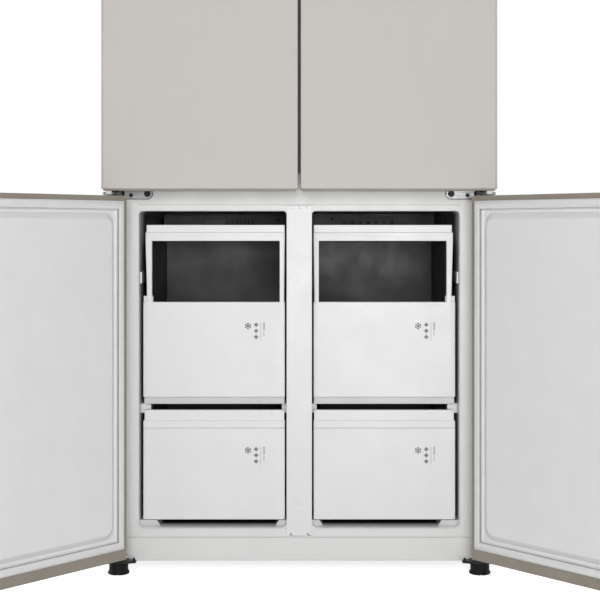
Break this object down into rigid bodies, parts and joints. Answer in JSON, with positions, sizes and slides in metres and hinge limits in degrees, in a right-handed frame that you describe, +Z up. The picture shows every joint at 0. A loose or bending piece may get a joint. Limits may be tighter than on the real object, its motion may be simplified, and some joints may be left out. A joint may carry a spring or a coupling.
{
  "type": "built-in refrigerator",
  "caption": "Tall built-in refrigerator with hinged fresh-food doors above, hinged freezer doors below, and sliding freezer drawers.",
  "frame": {"origin": "on the floor under the middle of the whole object's box, with the upper doors shut and the freezer doors open", "axes": "+X to the viewer's right when facing the doors, +Y to the back, +Z up"},
  "size_m": [1.353, 0.9937, 1.893],
  "materials": {
    "door_paint": "satin",
    "cabinet_paint": "satin",
    "trim_brown": "satin",
    "liner_plastic": "satin",
    "drawer_plastic": "satin",
    "basket_plastic": "satin",
    "duct_plastic": "matte",
    "gasket_rubber": "matte",
    "hinge_steel": "satin",
    "black_plastic": "satin",
    "black_paint": "satin",
    "zinc_steel": "satin",
    "black_rubber": "matte",
    "fin_aluminium": "satin",
    "shelf_glass": "gloss",
    "clear_plastic": "gloss",
    "foam": "matte",
    "lamp_lens": "satin"
  },
  "bodies": {
    "cabinet": {"cabinet_shell": "cabinet_paint", "rear_panel": "cabinet_paint", "insulation_foam": "foam", "fridge_liner": "liner_plastic", "freezer_liners": "liner_plastic", "centre_posts": "liner_plastic", "crossbar": "cabinet_paint", "base_front_panel": "cabinet_paint", "base_frame": "zinc_steel", "middle_hinges": "hinge_steel", "top_hinges": "black_plastic", "bottom_hinges": "black_paint", "compressor": "black_paint", "compressor_mounts": "black_rubber", "condenser_coil": "black_paint", "fan_motors": "black_plastic", "drip_tray": "black_plastic", "rear_cover": "zinc_steel", "cord_gland": "black_rubber", "evaporator": "fin_aluminium", "freezer_duct_panels": "duct_plastic", "fridge_duct_panel": "liner_plastic", "ceiling_lamp": "lamp_lens", "glass_shelves": "shelf_glass", "crisper_drawers": "clear_plastic", "drawer_rails": "liner_plastic", "cabinet_screws": "hinge_steel", "control_box": "black_plastic"},
    "condenser_fan": {"condenser_fan": "black_plastic"},
    "evaporator_fan": {"evaporator_fan": "black_plastic"},
    "upper_door_left": {"upper_door_skin_left": "door_paint", "upper_door_caps_left": "trim_brown", "upper_door_liner_left": "liner_plastic", "upper_door_gasket_left": "gasket_rubber", "door_bins_left": "clear_plastic"},
    "lower_door_left": {"lower_door_skin_left": "door_paint", "lower_door_caps_left": "trim_brown", "lower_door_liner_left": "liner_plastic", "lower_door_gasket_left": "gasket_rubber"},
    "upper_drawer_left": {"upper_front_left": "drawer_plastic", "upper_basket_left": "basket_plastic"},
    "lower_drawer_left": {"lower_front_left": "drawer_plastic", "lower_basket_left": "basket_plastic"},
    "front_foot_left": {"front_foot_left": "black_plastic"},
    "rear_roller_left": {"rear_roller_left": "black_plastic"},
    "upper_door_right": {"upper_door_skin_right": "door_paint", "upper_door_caps_right": "trim_brown", "upper_door_liner_right": "liner_plastic", "upper_door_gasket_right": "gasket_rubber", "door_bins_right": "clear_plastic"},
    "lower_door_right": {"lower_door_skin_right": "door_paint", "lower_door_caps_right": "trim_brown", "lower_door_liner_right": "liner_plastic", "lower_door_gasket_right": "gasket_rubber"},
    "upper_drawer_right": {"upper_front_right": "drawer_plastic", "upper_basket_right": "basket_plastic"},
    "lower_drawer_right": {"lower_front_right": "drawer_plastic", "lower_basket_right": "basket_plastic"},
    "front_foot_right": {"front_foot_right": "black_plastic"},
    "rear_roller_right": {"rear_roller_right": "black_plastic"}
  },
  "joints": [
    {"name": "upper_door_left_hinge", "type": "hinge", "parent": "cabinet", "child": "upper_door_left", "pos_m": [-0.402, -0.16673, 0.816], "axis": [0, 0, -1], "range_deg": [0, 130]},
    {"name": "lower_door_left_hinge", "type": "hinge", "parent": "cabinet", "child": "lower_door_left", "pos_m": [-0.402, -0.16673, 0.035], "axis": [0, 0, -1], "range_deg": [-130, 0]},
    {"name": "upper_drawer_left_slide", "type": "slide", "parent": "cabinet", "child": "upper_drawer_left", "axis": [0, -1, 0], "range_m": [0, 0.4]},
    {"name": "lower_drawer_left_slide", "type": "slide", "parent": "cabinet", "child": "lower_drawer_left", "axis": [0, -1, 0], "range_m": [0, 0.27]},
    {"name": "front_foot_left_turn", "type": "hinge", "parent": "cabinet", "child": "front_foot_left", "pos_m": [-0.3835, -0.15523, 0], "axis": [0, 0, 1], "continuous": true},
    {"name": "rear_roller_left_roll", "type": "hinge", "parent": "cabinet", "child": "rear_roller_left", "pos_m": [-0.37, 0.42337, 0.014], "axis": [1, 0, 0], "continuous": true},
    {"name": "upper_door_right_hinge", "type": "hinge", "parent": "cabinet", "child": "upper_door_right", "pos_m": [0.402, -0.16673, 0.816], "axis": [0, 0, 1], "range_deg": [0, 130]},
    {"name": "lower_door_right_hinge", "type": "hinge", "parent": "cabinet", "child": "lower_door_right", "pos_m": [0.402, -0.16673, 0.035], "axis": [0, 0, 1], "range_deg": [-130, 0]},
    {"name": "upper_drawer_right_slide", "type": "slide", "parent": "cabinet", "child": "upper_drawer_right", "axis": [0, -1, 0], "range_m": [0, 0.4]},
    {"name": "lower_drawer_right_slide", "type": "slide", "parent": "cabinet", "child": "lower_drawer_right", "axis": [0, -1, 0], "range_m": [0, 0.27]},
    {"name": "front_foot_right_turn", "type": "hinge", "parent": "cabinet", "child": "front_foot_right", "pos_m": [0.3835, -0.15523, 0], "axis": [0, 0, 1], "continuous": true},
    {"name": "rear_roller_right_roll", "type": "hinge", "parent": "cabinet", "child": "rear_roller_right", "pos_m": [0.37, 0.42337, 0.014], "axis": [1, 0, 0], "continuous": true},
    {"name": "condenser_fan_spin", "type": "hinge", "parent": "cabinet", "child": "condenser_fan", "pos_m": [0.058, 0.35837, 0.1275], "axis": [1, 0, 0], "continuous": true},
    {"name": "evaporator_fan_spin", "type": "hinge", "parent": "cabinet", "child": "evaporator_fan", "pos_m": [-0.18615, 0.39937, 0.7], "axis": [0, 1, 0], "continuous": true}
  ]
}
